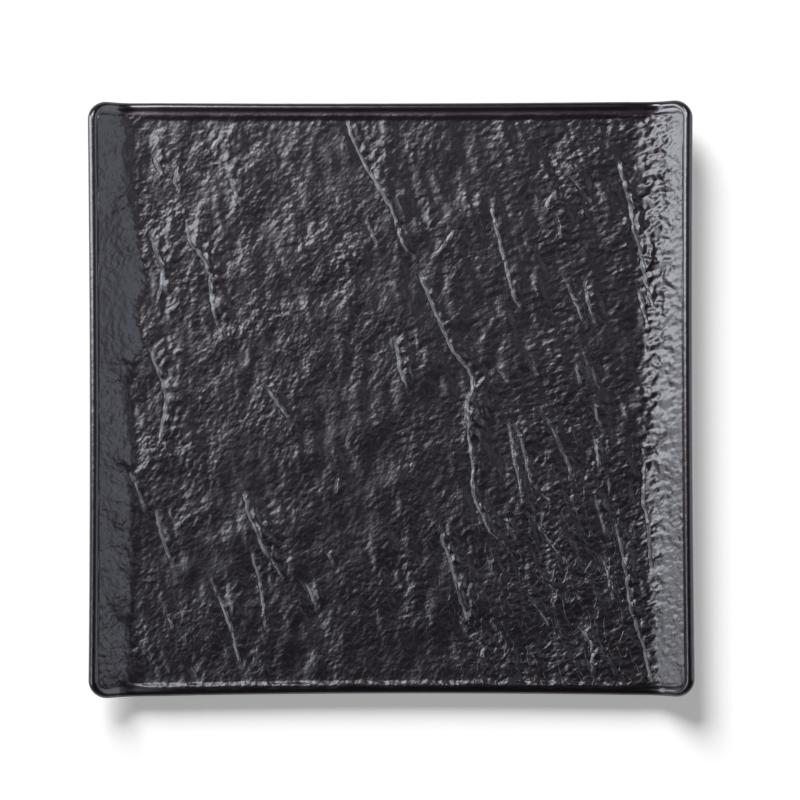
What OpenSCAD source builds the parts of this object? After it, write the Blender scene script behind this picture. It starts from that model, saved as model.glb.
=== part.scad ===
// Square dinner plate of black glazed porcelain. Two opposite sides rise as curved wings, the
// other two carry a narrow stepped lip, and a round bead runs along the whole rim.
// Millimetres, Z up, origin on the table under the plate's centre, front edge towards -Y.

/* [Plan] */
// Width across the two wings
plate_w = 270; // [200:1:340]
// Depth from the front corners to the back corners
plate_d = 267; // [200:1:340]
// Radius of the corners in plan
corner_r = 8.5; // [6:0.5:12]
// How far each wing's edge curves in at its middle
side_bow = 0.8; // [0:0.1:3]
// How far the back edge curves in at its middle
back_bow = 0.7; // [0:0.1:3]
// How far the front edge curves in at its middle
front_bow = 1.6; // [0:0.1:3]

/* [Well] */
// Height of the well's floor above the table
well_h = 7.6; // [6.6:0.1:12]
// Thickness of the body under the well
wall = 4.6; // [3.8:0.1:5.4]

/* [Wings] */
// Width of each raised wing, from the rim to where the well's floor begins
wing_w = 21; // [17:0.5:21.5]
// Radius of the concave curve between the well and the wing
wing_r = 13; // [6:0.5:16]
// Slope of the wing above its curve, in degrees
wing_angle = 37; // [15:1:42]

/* [Lip] */
// Height of the back ledge above the well
back_lip_h = 1.7; // [0.5:0.1:3]
// Height of the front ledge above the well
front_lip_h = 1; // [0.5:0.1:3]
// Width of the back lip's flat ledge inside the bead
back_ledge_w = 1.3; // [0.4:0.1:3]
// Width of the small wall from the back ledge down to the well
back_step_w = 2.9; // [0.8:0.1:3.5]
// Width of the front lip's flat ledge inside the bead
front_ledge_w = 0.4; // [0.4:0.1:3]
// Width of the small wall from the front ledge down to the well
front_step_w = 2.4; // [0.8:0.1:3.5]
// Width of ledge and wall together where they run out into the wings
lip_end_w = 2.2; // [1.5:0.1:3]
// Distance from the wing's edge at which the lip starts to fade
lip_fade_start = 34; // [28:1:50]
// Distance from the wing's edge at which the lip is gone
lip_fade_end = 13; // [11:1:20]

/* [Bead] */
// Radius of the round bead that forms the rim
bead_r = 2.2; // [1.8:0.1:2.6]
// How far the bead stands above the surface beside it
bead_proud = 0.55; // [0.3:0.05:0.8]

/* [Underside] */
// Distance from the edge at which the thin rim has reached the body's full thickness
cove_w = 22; // [20:1:26]
// Width of the sloping flank on each side of the foot's root
root_flank_w = 3; // [2:0.5:5]

/* [Foot] */
// Distance from the plate's edge to the outside of the bare standing rim
foot_inset = 42; // [36:1:60]
// Width of the bare standing rim
foot_w = 5; // [3:0.5:8]
// Height of the bare standing rim
foot_h = 1.2; // [0.8:0.1:1.6]
// Radius of the standing rim's outer corners
foot_corner_r = 24; // [16:1:34]
// Radius that rounds the standing rim's lower edges
foot_edge_r = 0.6; // [0.2:0.1:0.7]
// Width of the glazed step on each side of the bare rim
glaze_step = 0.4; // [0.2:0.1:1]

/* [Hidden] */
arc_fn = 64;
half_w = plate_w / 2;
half_d = plate_d / 2;

// Rim: its thickness, the turn at which the bead's inner flank meets the surface beside it, and
// the bead's width on the level lips and on the sloping wings
rim_t = 2 * bead_r - bead_proud;
crease_angle = 180 - asin((bead_r - bead_proud) / bead_r);
bead_w = bead_r - bead_r * cos(crease_angle);
wing_bead_w = bead_r - bead_r * cos(crease_angle + wing_angle);

// Wing: distance from the edge to the top of the concave curve, and the curve's rise
slope_w = wing_w - wing_r * sin(wing_angle);
curve_rise = wing_r * (1 - cos(wing_angle));

// Height of the flat underside, which the foot's root comes down from
under_h = well_h - wall;

// Plan corners of the rings that lie deeper than the plate's own corner radius
inner_corner_r = corner_r - wing_bead_w - lip_end_w;
min_corner_r = max(inner_corner_r, bead_r / 2);

// Shares of the bead's turn, from its underside over the rim to its inner crease
bead_shares = [for (i = [0 : 8]) i / 8];
// Lip: shares of the small wall's width, and of its height at each, from the ledge to the well
step_shares = [0, 0.3, 0.7, 1];
drop_shares = [1, 0.82, 0.18, 0];
// Wing: shares of the way down its concave curve to the well
curve_shares = [0, 0.2, 0.4, 0.6, 0.8, 1];
// Underside: shares of the cove's width from the rim inwards, and of the lip's height at each
cove_shares = [0.15, 0.35, 0.6, 1];
cove_rise_shares = [0.85, 0.5, 0.15, 0];
// Foot's root: shares of a flank's width and of its height, from the underside down
flank_shares = [0, 0.35, 0.7, 1];
flank_drop_shares = [0, 0.12, 0.6, 1];

function mix(a, b, t) = a + (b - a) * t;
function smooth(t) = let (c = min(1, max(0, t))) c * c * (3 - 2 * c);
function reversed(v) = [for (i = [len(v) - 1 : -1 : 0]) v[i]];

// Rise and slope of a wing at the distance u in from its edge
function wing_rise(u) =
    u >= wing_w ? 0
    : u >= slope_w ? wing_r - sqrt(wing_r * wing_r - (wing_w - u) * (wing_w - u))
    : curve_rise + (slope_w - u) * tan(wing_angle);
function wing_slope(u) =
    u >= wing_w ? 0 : u >= slope_w ? asin((wing_w - u) / wing_r) : wing_angle;

// How much of the front or back lip is there, at the distance u in from a wing's edge
function lip_share(u) = smooth((u - lip_fade_end) / (lip_fade_start - lip_fade_end));

// Rise of the lip at the plan point p
function lip_rise(p) = (p.y > 0 ? back_lip_h : front_lip_h) * lip_share(half_w - abs(p.x));

// Stations round the plan, each [share of the straight half width, share of the straight half
// depth, direction of the outward normal]: a corner arc, then the edge after it, four times
corner_steps = 6;
corners = [[1, 1], [-1, 1], [-1, -1], [1, -1]];
end_us = concat(
    [for (i = [1 : 5]) mix(corner_r, wing_w, i / 5)],
    [for (i = [1 : 3]) mix(wing_w, lip_fade_start, i / 3)],
    [for (i = [1 : 3]) mix(lip_fade_start, half_w, i / 3)]);
end_shares = [for (u = end_us) (half_w - u) / (half_w - corner_r)];
side_shares = [0.75, 0.4, 0];
function both_ways(shares) = concat(shares, [for (s = reversed(shares)) if (s > 0) -s]);
stations = [for (q = [0 : 3]) let (c = corners[q], a = 90 * q) each concat(
    [for (i = [0 : corner_steps]) [c.x, c.y, a + 90 * i / corner_steps]],
    q % 2 == 0
        ? [for (s = both_ways(end_shares)) [c.x * s, c.y, a + 90]]
        : [for (s = both_ways(side_shares)) [c.x, c.y * s, a + 90]])];
count = len(stations);

// Station on a ring that lies s in from the sides, with corner radius r, and e in from the ends,
// where e is a pair if the back and the front differ
function at_station(st, e, s, r) =
    let (
        x = st[0] * (half_w - s - r) + r * cos(st[2]),
        y = st[1] * (half_d - s - r) + r * sin(st[2]),
        end = is_list(e) ? (y > 0 ? e[0] : e[1]) : e
    )
    [x, y - sign(y) * (end - s) * lip_share(half_w - abs(x))];

// The point p of the straight-sided plan, moved in with the bowed edges
function bowed(p, z) =
    let (
        y_bow = p.y > 0 ? back_bow : front_bow,
        x_share = p.x / half_w,
        y_share = p.y / half_d
    )
    [
        p.x - x_share * side_bow * (1 - y_share * y_share),
        p.y - y_share * y_bow * (1 - x_share * x_share),
        z
    ];

// Ring of the bead, at a share of its turn
function bead_ring(share) = [for (st = stations)
    let (
        p = at_station(st, bead_r, bead_r, corner_r - bead_r),
        u = half_w - abs(p.x),
        lean = atan(tan(wing_slope(u)) * abs(cos(st[2]))),
        turn = lean + mix(-90, crease_angle, share),
        centre_z = well_h + wing_rise(u) + lip_rise(p)
            - (bead_r - bead_proud) / cos(wing_slope(u)),
        out = bead_r * cos(turn)
    )
    bowed([p.x + out * cos(st[2]), p.y + out * sin(st[2])], centre_z + bead_r * sin(turn))];

// Ring on the upper side, with a share of the lip's height, or on the lower side, t below that
function surface_ring(e, s, lip, t = 0) = [for (st = stations)
    let (
        p = at_station(st, e, s, max(corner_r - s, min_corner_r)),
        u = half_w - abs(p.x),
        top = well_h + wing_rise(u) + lip * lip_rise(p)
    )
    bowed(p, top - t / cos(wing_slope(u)))];

// Level ring of the foot's root, d in from the edge
function level_ring(d, r, z) = [for (st = stations) concat(at_station(st, d, d, r), z)];

// Rings of one flank of the root, from the underside down: way is 1 outside the foot, -1 inside
function flank_rings(way) = [for (i = [0 : len(flank_shares) - 1])
    let (
        out = glaze_step + root_flank_w * (1 - flank_shares[i]),
        edge = way > 0 ? foot_inset - out : foot_inset + foot_w + out
    )
    level_ring(edge, foot_corner_r + foot_inset - edge,
        mix(under_h, foot_h, flank_drop_shares[i]))];

cove_rings = [for (i = [0 : len(cove_shares) - 1])
    let (d = mix(bead_r, cove_w, cove_shares[i]))
    surface_ring(d, d, cove_rise_shares[i], mix(rim_t, wall, cove_shares[i]))];
lip_rings = [for (i = [0 : len(step_shares) - 1])
    surface_ring(
        [bead_w + back_ledge_w + back_step_w * step_shares[i],
            bead_w + front_ledge_w + front_step_w * step_shares[i]],
        wing_bead_w + lip_end_w * (i + 1) / len(step_shares),
        drop_shares[i])];
curve_rings = [for (share = curve_shares)
    let (d = mix(slope_w, wing_w, share))
    surface_ring(d, d, 0)];

// The whole skin, from the middle of the underside out, over the rim and in to the well
rings = concat(
    reversed(flank_rings(-1)), reversed(flank_rings(1)), reversed(cove_rings),
    [for (share = bead_shares) bead_ring(share)],
    lip_rings, curve_rings);

// Glazed body: a loft through the rings, closed by a fan at the middle of each side
module plate_body() {
    last = (len(rings) - 1) * count;
    under_middle = len(rings) * count;
    well_middle = under_middle + 1;
    points = concat([for (ring = rings) each ring], [[0, 0, under_h], [0, 0, well_h]]);
    faces = concat(
        [for (i = [0 : count - 1]) [under_middle, i, (i + 1) % count]],
        [for (k = [0 : len(rings) - 2], i = [0 : count - 1])
            let (a = k * count + i, b = k * count + (i + 1) % count)
            each [[a, a + count, b + count], [a, b + count, b]]],
        [for (i = [0 : count - 1]) [well_middle, last + (i + 1) % count, last + i]]);
    color([0.13, 0.13, 0.14]) polyhedron(points = points, faces = faces, convexity = 6);
}

// Section of the bare standing rim, from its outer side at 0 inwards, with rounded lower edges
module foot_section() {
    translate([-foot_w, foot_edge_r]) square([foot_w, foot_h - foot_edge_r]);
    translate([-foot_w + foot_edge_r, 0]) square([foot_w - 2 * foot_edge_r, foot_h]);
    for (x = [-foot_edge_r, foot_edge_r - foot_w])
        translate([x, foot_edge_r]) circle(r = foot_edge_r, $fn = arc_fn);
}

// Bare standing rim: its section run along the four sides and turned round the four corners
module foot_ring() {
    run_w = plate_w - 2 * (foot_inset + foot_corner_r);
    run_d = plate_d - 2 * (foot_inset + foot_corner_r);
    color([0.34, 0.32, 0.3]) {
        for (q = [0 : 3]) {
            along = q % 2 == 0 ? run_d : run_w;
            across = q % 2 == 0 ? run_w : run_d;
            rotate(90 * q) {
                translate([across / 2 + foot_corner_r, along / 2, 0])
                    rotate([90, 0, 0]) linear_extrude(along) foot_section();
                translate([across / 2, along / 2, 0])
                    rotate_extrude(angle = 90, $fn = arc_fn)
                        translate([foot_corner_r, 0]) foot_section();
            }
        }
    }
}

plate_body();
foot_ring();
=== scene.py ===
"""A square dinner plate of black satin-glazed porcelain with a slate-like relief in its well.

The glazed body is one closed mesh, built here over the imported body's own sizes, with the relief
carved into its upper side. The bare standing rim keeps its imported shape. Lengths are in
millimetres until the mesh is made.
"""

import functools
import math

import bpy
import numpy as np
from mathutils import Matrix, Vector


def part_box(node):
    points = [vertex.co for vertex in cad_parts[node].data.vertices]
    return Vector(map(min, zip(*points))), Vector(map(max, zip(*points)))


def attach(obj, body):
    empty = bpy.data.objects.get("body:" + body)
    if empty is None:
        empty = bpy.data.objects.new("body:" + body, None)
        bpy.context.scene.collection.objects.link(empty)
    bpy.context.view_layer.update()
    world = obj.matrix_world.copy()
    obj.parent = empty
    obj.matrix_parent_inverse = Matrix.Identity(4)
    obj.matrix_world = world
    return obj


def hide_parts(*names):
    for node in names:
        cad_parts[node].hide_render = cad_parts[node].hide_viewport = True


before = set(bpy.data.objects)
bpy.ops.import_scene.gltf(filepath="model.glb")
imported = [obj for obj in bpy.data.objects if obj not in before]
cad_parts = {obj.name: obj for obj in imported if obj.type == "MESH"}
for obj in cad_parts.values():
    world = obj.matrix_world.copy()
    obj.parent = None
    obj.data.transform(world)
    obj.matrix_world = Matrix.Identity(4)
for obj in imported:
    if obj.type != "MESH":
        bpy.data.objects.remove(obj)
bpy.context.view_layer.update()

MM = 0.001
BODY_LOW, BODY_HIGH = (np.array(corner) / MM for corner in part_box("plate_body"))
FOOT_LOW, FOOT_HIGH = (np.array(corner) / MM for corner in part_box("foot_ring"))

# Plan
HALF_W = (BODY_HIGH[0] - BODY_LOW[0]) / 2
HALF_D = (BODY_HIGH[1] - BODY_LOW[1]) / 2
CORNER_R = 8.5
SIDE_BOW, BACK_BOW, FRONT_BOW = 0.8, 0.7, 1.6

# Section
WALL = 4.6
WING_W, WING_R, WING_ANGLE = 21.0, 13.0, math.radians(37)
BACK_LIP_H, FRONT_LIP_H, LIP_END_W = 1.7, 1.0, 2.2
BACK_STEP, FRONT_STEP = (5.5, 7.9), (3.8, 6.4)
LIP_FADE_START, LIP_FADE_END = 34.0, 13.0
BEAD_R, BEAD_PROUD, FRONT_PROUD = 2.2, 0.55, 0.15
COVE_W = 22.0

# Foot
FOOT_H = FOOT_HIGH[2] - FOOT_LOW[2]
FOOT_INSET = HALF_W - FOOT_HIGH[0]
FOOT_W, FOOT_CORNER_R, GLAZE_STEP, ROOT_FLANK_W = 5.0, 24.0, 0.4, 3.0

# Derived
RIM_T = 2 * BEAD_R - BEAD_PROUD
CREASE = math.pi - math.asin((BEAD_R - BEAD_PROUD) / BEAD_R)
WING_BEAD_W = BEAD_R - BEAD_R * math.cos(CREASE + WING_ANGLE)
SLOPE_W = WING_W - WING_R * math.sin(WING_ANGLE)
CURVE_RISE = WING_R * (1 - math.cos(WING_ANGLE))

# The well's floor is as far below the wings' crests as the section says
CREST_RISE = (
    CURVE_RISE + (SLOPE_W - BEAD_R) * math.tan(WING_ANGLE)
    - (BEAD_R - BEAD_PROUD) / math.cos(WING_ANGLE) + BEAD_R
)
WELL_H = BODY_HIGH[2] - CREST_RISE
UNDER_H = WELL_H - WALL

# Photograph: millimetres to a pixel, and the pixel of the plate's centre
PX = 0.45
CENTRE_PX = (391.0, 399.0)

# Regions of the relief and the glaze: the left kind turns into the right kind along X, and the
# back kind into the front kind along Y
RIGHT_FROM, RIGHT_TO = -20.0, 90.0
FRONT_FROM, FRONT_TO = 15.0, -105.0


def mix(a, b, t):
    """The value at the share t of the way from a to b."""
    return a + (b - a) * t


def smooth(t):
    """Smooth step from 0 to 1."""
    c = np.clip(t, 0, 1)
    return c * c * (3 - 2 * c)


def ramp(value, start, end):
    """Smooth step from 0, where the value is at the start, to 1, where it is at the end."""
    return smooth((value - start) / (end - start))


def wing_rise(u):
    """Height of a wing above the well at the distance u in from its edge."""
    arc = WING_R - np.sqrt(np.maximum(WING_R**2 - np.clip(WING_W - u, 0, WING_R) ** 2, 0))
    slope = CURVE_RISE + (SLOPE_W - u) * math.tan(WING_ANGLE)
    return np.where(u >= SLOPE_W, arc, slope)


def wing_slope(u):
    """Angle of a wing at the distance u in from its edge."""
    return np.where(u >= SLOPE_W, np.arcsin(np.clip((WING_W - u) / WING_R, 0, 1)), WING_ANGLE)


def lip_share(u):
    """How much of the front or back lip is there, at the distance u in from a wing's edge."""
    return ramp(u, LIP_FADE_END, LIP_FADE_START)


def lip_rise(x, y):
    """Height of the lip above the well at plan points."""
    return np.where(y > 0, BACK_LIP_H, FRONT_LIP_H) * lip_share(HALF_W - np.abs(x))


def bowed(x, y):
    """Plan points moved in with the bowed edges."""
    y_bow = np.where(y > 0, BACK_BOW, FRONT_BOW)
    return (
        x - x / HALF_W * SIDE_BOW * (1 - (y / HALF_D) ** 2),
        y - y / HALF_D * y_bow * (1 - (x / HALF_W) ** 2),
    )


# Field of smooth noise: its side in millimetres and in samples
FIELD_SIDE, FIELD_N = 320.0, 1280


@functools.lru_cache(maxsize=None)
def noise_field(seed, spacing, stretch, angle):
    """Seeded field of unit spread, with bumps `spacing` apart.

    They are `stretch` times as long along `angle`, in degrees from +X.
    """
    white = np.random.default_rng(seed).standard_normal((FIELD_N, FIELD_N))
    fx = np.fft.fftfreq(FIELD_N, FIELD_SIDE / FIELD_N)[None, :]
    fy = np.fft.fftfreq(FIELD_N, FIELD_SIDE / FIELD_N)[:, None]
    c, s = math.cos(math.radians(angle)), math.sin(math.radians(angle))
    k2 = (((fx * c + fy * s) * stretch) ** 2 + (fy * c - fx * s) ** 2) * spacing**2
    field = np.real(np.fft.ifft2(np.fft.fft2(white) * k2 * np.exp(-k2)))
    return field / field.std()


def sample(field, x, y):
    """The field's value at each point, between its samples."""
    u = (x / FIELD_SIDE + 0.5) * FIELD_N
    v = (y / FIELD_SIDE + 0.5) * FIELD_N
    i, j = np.floor(u).astype(int), np.floor(v).astype(int)
    fu, fv = u - i, v - j
    i0, i1, j0, j1 = i % FIELD_N, (i + 1) % FIELD_N, j % FIELD_N, (j + 1) % FIELD_N
    low = mix(field[j0, i0], field[j0, i1], fu)
    high = mix(field[j1, i0], field[j1, i1], fu)
    return mix(low, high, fv)


def band_noise(kind, x, y):
    """Noise of a kind, (seed, spacing, stretch, angle), at the points x, y."""
    return sample(noise_field(*kind), x, y)


# Clefts of the slate, as the photograph shows them: (strength, [pixels from top to bottom])
CLEFTS = [
    # Long cleft from the back edge down through the middle
    (1.0, [(346, 115), (351, 134), (360, 154), (373, 178), (385, 196), (394, 213), (398, 230),
           (405, 249), (417, 257)]),
    (1.0, [(419, 272), (428, 295), (436, 314), (445, 333), (451, 349), (461, 360), (470, 372),
           (474, 383), (468, 400), (466, 411)]),
    (1.1, [(468, 400), (467, 434), (472, 455), (472, 492), (478, 509), (486, 526), (491, 536),
           (501, 541)]),
    (0.5, [(394, 192), (399, 207), (405, 222)]),
    (0.6, [(455, 226), (442, 249), (426, 259)]),
    (1.5, [(471, 388), (468, 400), (466, 412), (465, 424)]),
    # Upper left
    (0.9, [(149, 232), (156, 251), (164, 270), (161, 285), (157, 299)]),
    (0.5, [(178, 299), (175, 306), (166, 310)]),
    (0.8, [(153, 155), (163, 175)]),
    (0.6, [(178, 165), (174, 182), (180, 188), (174, 196)]),
    (0.9, [(186, 219), (189, 242), (201, 253), (209, 270), (211, 289), (212, 307), (218, 326)]),
    (0.9, [(149, 339), (151, 354), (161, 379), (167, 400), (163, 419), (159, 440)]),
    (0.8, [(230, 178), (237, 196)]),
    (0.8, [(222, 134), (212, 148)]),
    (0.6, [(365, 213), (367, 224), (377, 245)]),
    (0.5, [(299, 242), (300, 253)]),
    (0.8, [(260, 379), (270, 393), (274, 400), (291, 419), (287, 425)]),
    (0.8, [(394, 337), (398, 356), (400, 372), (411, 395)]),
    # Upper right
    (0.8, [(489, 196), (495, 224), (503, 255), (509, 280), (514, 299), (524, 312)]),
    (0.8, [(555, 190), (545, 207)]),
    (0.5, [(553, 207), (558, 222), (560, 240)]),
    (0.5, [(560, 168), (570, 177), (583, 192), (593, 207)]),
    (0.7, [(585, 278), (585, 291), (591, 314), (598, 333)]),
    (0.7, [(568, 287), (577, 307), (585, 324)]),
    (0.6, [(581, 354), (593, 374), (602, 393)]),
    (1.0, [(616, 155), (621, 173), (626, 192), (631, 207), (633, 232), (641, 251), (646, 284),
           (654, 310)]),
    (0.8, [(637, 284), (641, 301), (648, 328)]),
    (0.6, [(495, 366), (509, 383)]),
    (0.5, [(574, 364), (581, 387)]),
    (0.5, [(530, 356), (537, 377)]),
    # Lower left
    (0.7, [(123, 459), (134, 480), (144, 507), (147, 517)]),
    (0.9, [(155, 507), (159, 530), (167, 551), (172, 565)]),
    (1.0, [(243, 492), (247, 513), (256, 532), (264, 551), (277, 568), (283, 584)]),
    (1.0, [(207, 574), (218, 595), (228, 620), (235, 645), (241, 672)]),
    (0.6, [(189, 666), (199, 683)]),
    (0.6, [(167, 614), (174, 630)]),
    (0.6, [(297, 576), (306, 586), (312, 599), (314, 609)]),
    (0.5, [(249, 545), (255, 568), (260, 584), (262, 603), (262, 622), (270, 635)]),
    (0.5, [(325, 549), (335, 570)]),
    (0.5, [(337, 475), (334, 496)]),
    # Lower middle
    (0.9, [(436, 522), (444, 547), (451, 565), (455, 586), (461, 605), (468, 624)]),
    (0.7, [(457, 616), (467, 637)]),
    (0.9, [(472, 637), (482, 647), (481, 658)]),
    (0.8, [(501, 519), (511, 532), (516, 542)]),
    (0.7, [(503, 415), (509, 425), (512, 444), (514, 463), (518, 477), (522, 501)]),
    (0.6, [(512, 419), (522, 444), (526, 463), (530, 484), (543, 496), (555, 505)]),
    (0.7, [(535, 404), (553, 429), (562, 452), (574, 480)]),
    (0.7, [(526, 507), (541, 532), (556, 553), (568, 563)]),
    (0.7, [(535, 572), (543, 584), (558, 591), (570, 601)]),
    (0.6, [(572, 591), (579, 600)]),
    (0.8, [(526, 593), (537, 610), (549, 628)]),
    (0.9, [(572, 622), (589, 639), (591, 654), (589, 668), (595, 681)]),
    # Lower right
    (0.6, [(591, 400), (602, 431)]),
    (0.8, [(593, 434), (597, 454), (599, 473)]),
    (0.6, [(606, 477), (610, 492)]),
    (0.8, [(593, 496), (600, 517), (604, 534)]),
    (1.0, [(613, 521), (621, 551), (626, 582), (628, 607), (637, 631), (644, 656), (648, 681)]),
    (0.5, [(591, 545), (602, 561), (608, 576), (612, 607)]),
    (0.8, [(641, 440), (645, 470), (641, 499), (648, 522), (650, 572)]),
]

# Broad low banks, rising to the right of these lines
BANKS = [
    [(150, 228), (156, 250), (163, 272), (162, 292), (156, 308)],
    [(153, 338), (158, 366), (166, 390), (169, 415), (162, 442)],
    [(188, 232), (202, 256), (211, 280), (214, 305), (220, 330)],
    [(152, 128), (160, 158), (172, 186)],
    [(212, 128), (224, 150), (236, 190)],
    [(393, 332), (399, 360), (408, 388)],
    [(470, 388), (466, 408), (466, 440)],
    [(244, 495), (256, 530), (272, 562)],
    [(438, 524), (450, 565), (462, 610), (478, 645)],
    [(618, 160), (630, 205), (642, 255), (650, 300)],
    [(614, 525), (626, 580), (640, 640)],
    [(574, 624), (590, 645), (592, 675)],
]
BANK_HALF_W, BANK_H, BANK_TAIL = 2.2, 0.5, 7.0

# Half width and slope of the strongest cleft's face, and how far it dies away behind the face
CLEFT_HALF_W, CLEFT_SLOPE, CLEFT_TAIL = 0.66, 0.36, 5.5
# How faces narrow with the strength, the narrowest half width, a face's flat share, and the least
# share of the tail
CLEFT_POWER, LEAST_HALF_W, FLAT_SHARE, LEAST_TAIL = 0.7, 0.05, 0.7, 0.4
# Trench in front of the step: its share of the step's height, and its width
TRENCH_SHARE, TRENCH_W = 0.3, 1.6
# Length over which a line's ends taper, that length's largest share of it, and the tips' vigour
TAPER, MOST_TAPER, TIP_VIGOUR = 9.0, 0.4, 0.15
# How a line wavers sideways, and how its vigour varies along it: sizes, and kinds of noise
WAVER_W, WAVER = 0.18, (21, 5.5, 1, 0)
VIGOUR_SPREAD, VIGOUR_LIMITS, VIGOUR = 0.32, (0.4, 1.8), (22, 6.0, 1, 0)
# Points farther from a line than so many tails are left out
FAR_TAILS = 3
# How far from its line a cleft is told to the glaze, and a vigour too small to matter
CLEFT_REACH, FAINT = 6.0, 0.02


def from_photo(points):
    """Plan points of a list of pixels, with the corners rounded off."""
    p = np.array(points, float)
    p = np.stack([(p[:, 0] - CENTRE_PX[0]) * PX, (CENTRE_PX[1] - p[:, 1]) * PX], axis=1)
    for _ in range(2):
        mid = np.stack([mix(p[:-1], p[1:], 0.25), mix(p[:-1], p[1:], 0.75)], axis=1)
        p = np.concatenate([p[:1], mid.reshape(-1, 2), p[-1:]])
    return p


def beside_line(x, y, line):
    """The points near a line: indices, distances across it and back from its nearer end."""
    reach = CLEFT_TAIL * FAR_TAILS
    near = np.flatnonzero(
        (x > line[:, 0].min() - reach) & (x < line[:, 0].max() + reach)
        & (y > line[:, 1].min() - reach) & (y < line[:, 1].max() + reach)
    )
    px, py = x[near], y[near]
    lengths = np.hypot(*(line[1:] - line[:-1]).T)
    starts = np.concatenate([[0], np.cumsum(lengths)])
    best = np.full(len(near), np.inf)
    across, along = np.zeros(len(near)), np.zeros(len(near))
    for k, (a, b) in enumerate(zip(line[:-1], line[1:])):
        d = (b - a) / lengths[k]
        t = np.clip((px - a[0]) * d[0] + (py - a[1]) * d[1], 0, lengths[k])
        ox, oy = px - a[0] - d[0] * t, py - a[1] - d[1] * t
        dist = np.hypot(ox, oy)
        closer = dist < best
        best = np.where(closer, dist, best)
        across = np.where(closer, np.sign(d[0] * oy - d[1] * ox) * dist, across)
        along = np.where(closer, starts[k] + t, along)
    end = np.minimum(along, starts[-1] - along)
    across = across + WAVER_W * band_noise(WAVER, px, py)
    vigour = np.clip(1.0 + VIGOUR_SPREAD * band_noise(VIGOUR, px, py), *VIGOUR_LIMITS)
    taper = min(TAPER, starts[-1] * MOST_TAPER)
    return near, across, vigour * smooth(end / taper + TIP_VIGOUR)


def add_cleft(height, x, y, strength, line):
    """Add one cleft: a step up across the line, dying away behind it.

    The line wavers sideways. A weaker cleft has a narrower and lower face, as steep as the others.
    """
    near, across, vigour = beside_line(x, y, line)
    half = np.maximum(CLEFT_HALF_W * strength**CLEFT_POWER * vigour, LEAST_HALF_W)
    t = np.clip(across / (2 * half) + 0.5, 0, 1)
    step = mix(smooth(t), t, FLAT_SHARE)
    tail = CLEFT_TAIL * mix(LEAST_TAIL, 1, strength)
    behind = np.exp(-np.maximum(across - half, 0) / tail)
    trench = -TRENCH_SHARE * (1 - step) * np.exp(-np.maximum(-across - half, 0) / TRENCH_W)
    height[near] += 2 * half * CLEFT_SLOPE * (step * behind + trench)


def add_bank(height, x, y, line):
    """Add one bank: a low slope up across the line, dying away behind it."""
    near, across, vigour = beside_line(x, y, line)
    rise = smooth(across / (2 * BANK_HALF_W) + 0.5)
    behind = np.exp(-np.maximum(across - BANK_HALF_W, 0) / BANK_TAIL)
    height[near] += BANK_H * vigour * rise * behind


def cleft_lines(x, y):
    """Each point's distance across the nearest cleft, and that cleft's strength there."""
    across, vigour = np.full(len(x), CLEFT_REACH), np.zeros(len(x))
    for strength, points in CLEFTS:
        near, off, share = beside_line(x, y, from_photo(points))
        share = strength * share * ramp(np.abs(off), CLEFT_REACH, CLEFT_REACH / 2)
        closer = np.abs(off) / (share + FAINT) < np.abs(across[near]) / (vigour[near] + FAINT)
        across[near] = np.where(closer, off, across[near])
        vigour[near] = np.where(closer, share, vigour[near])
    return across, vigour


# Stray clefts: (seed, number, and the plan shares along X and Y between which they start)
STRAYS = [
    (31, 60, (-0.8, 0.1), (-0.9, 0.9)),
    (32, 130, (0.0, 0.86), (-0.92, 0.92)),
    (33, 70, (0.1, 0.86), (-0.95, -0.1)),
]
STRAY_LENGTHS, STRAY_STRENGTHS, STRAY_POINTS = (4.0, 15.0), (0.12, 0.34), 6
# Their heading and its spread in degrees, and the spread of their bend and of each point's turn
STRAY_HEADING, STRAY_BEND, STRAY_TURN = (-68, 13), 0.05, 0.12


def stray_clefts(seed, number, along_x, along_y):
    """Seeded short clefts, (strength, line)."""
    rng = np.random.default_rng(seed)
    made = []
    for _ in range(number):
        p = np.array([
            mix(*along_x, rng.random()) * HALF_W,
            mix(*along_y, rng.random()) * HALF_D])
        step = mix(*STRAY_LENGTHS, rng.random() ** 2) / (STRAY_POINTS - 1)
        heading = math.radians(rng.normal(*STRAY_HEADING))
        bend = rng.normal(0, STRAY_BEND)
        points = []
        for _ in range(STRAY_POINTS):
            points.append(p)
            p = p + step * np.array([math.cos(heading), math.sin(heading)])
            heading += bend * step + rng.normal(0, STRAY_TURN)
        made.append((mix(*STRAY_STRENGTHS, rng.random()), np.array(points)))
    return made


# Layers of the relief. Noises are (seed, spacing, stretch, angle) and heights are in millimetres.
# Coarse pebbles: how much their tops are sharpened, and their vigour's middle, spread and limits
COARSE_LEFT, COARSE_RIGHT, COARSE_H = (13, 4.6, 1.5, 50), (14, 5.4, 2.0, 28), 0.045
COARSE_SHARP, COARSE_PATCHES = 0.3, (15, 26, 1.3, 60)
PATCH_MIDDLE, PATCH_SPREAD, PATCH_LIMITS = 0.8, 0.3, (0.3, 1.5)
# Their share at the back, and at the front left and right
COARSE_BACK, COARSE_FRONT = 0.95, (0.65, 0.8)
# Steep ridges and thin beds, with heights on the left and the right, and long low swells
RIDGES, RIDGE_H = (20, 13, 1.8, 95), (0.17, 0.11)
BEDS, BED_H = (17, 7.5, 4.0, 112), (0.07, 0.13)
SWELLS, SWELL_H = (16, 30, 1.6, 112), 0.22
# Veins along the zero lines of a kinked noise: half width and sinking in its units, and least
# shares on the left and at the back
VEINS, VEIN_KINKS, KINK_SHARE = (18, 5.0, 2.6, 114), (19, 3.4, 1.5, 60), 0.35
VEIN_HALF, VEIN_SINK, VEIN_H = 0.35, 0.3, 0.16
VEIN_LEFT, VEIN_BACK = 0.25, 0.5


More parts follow.
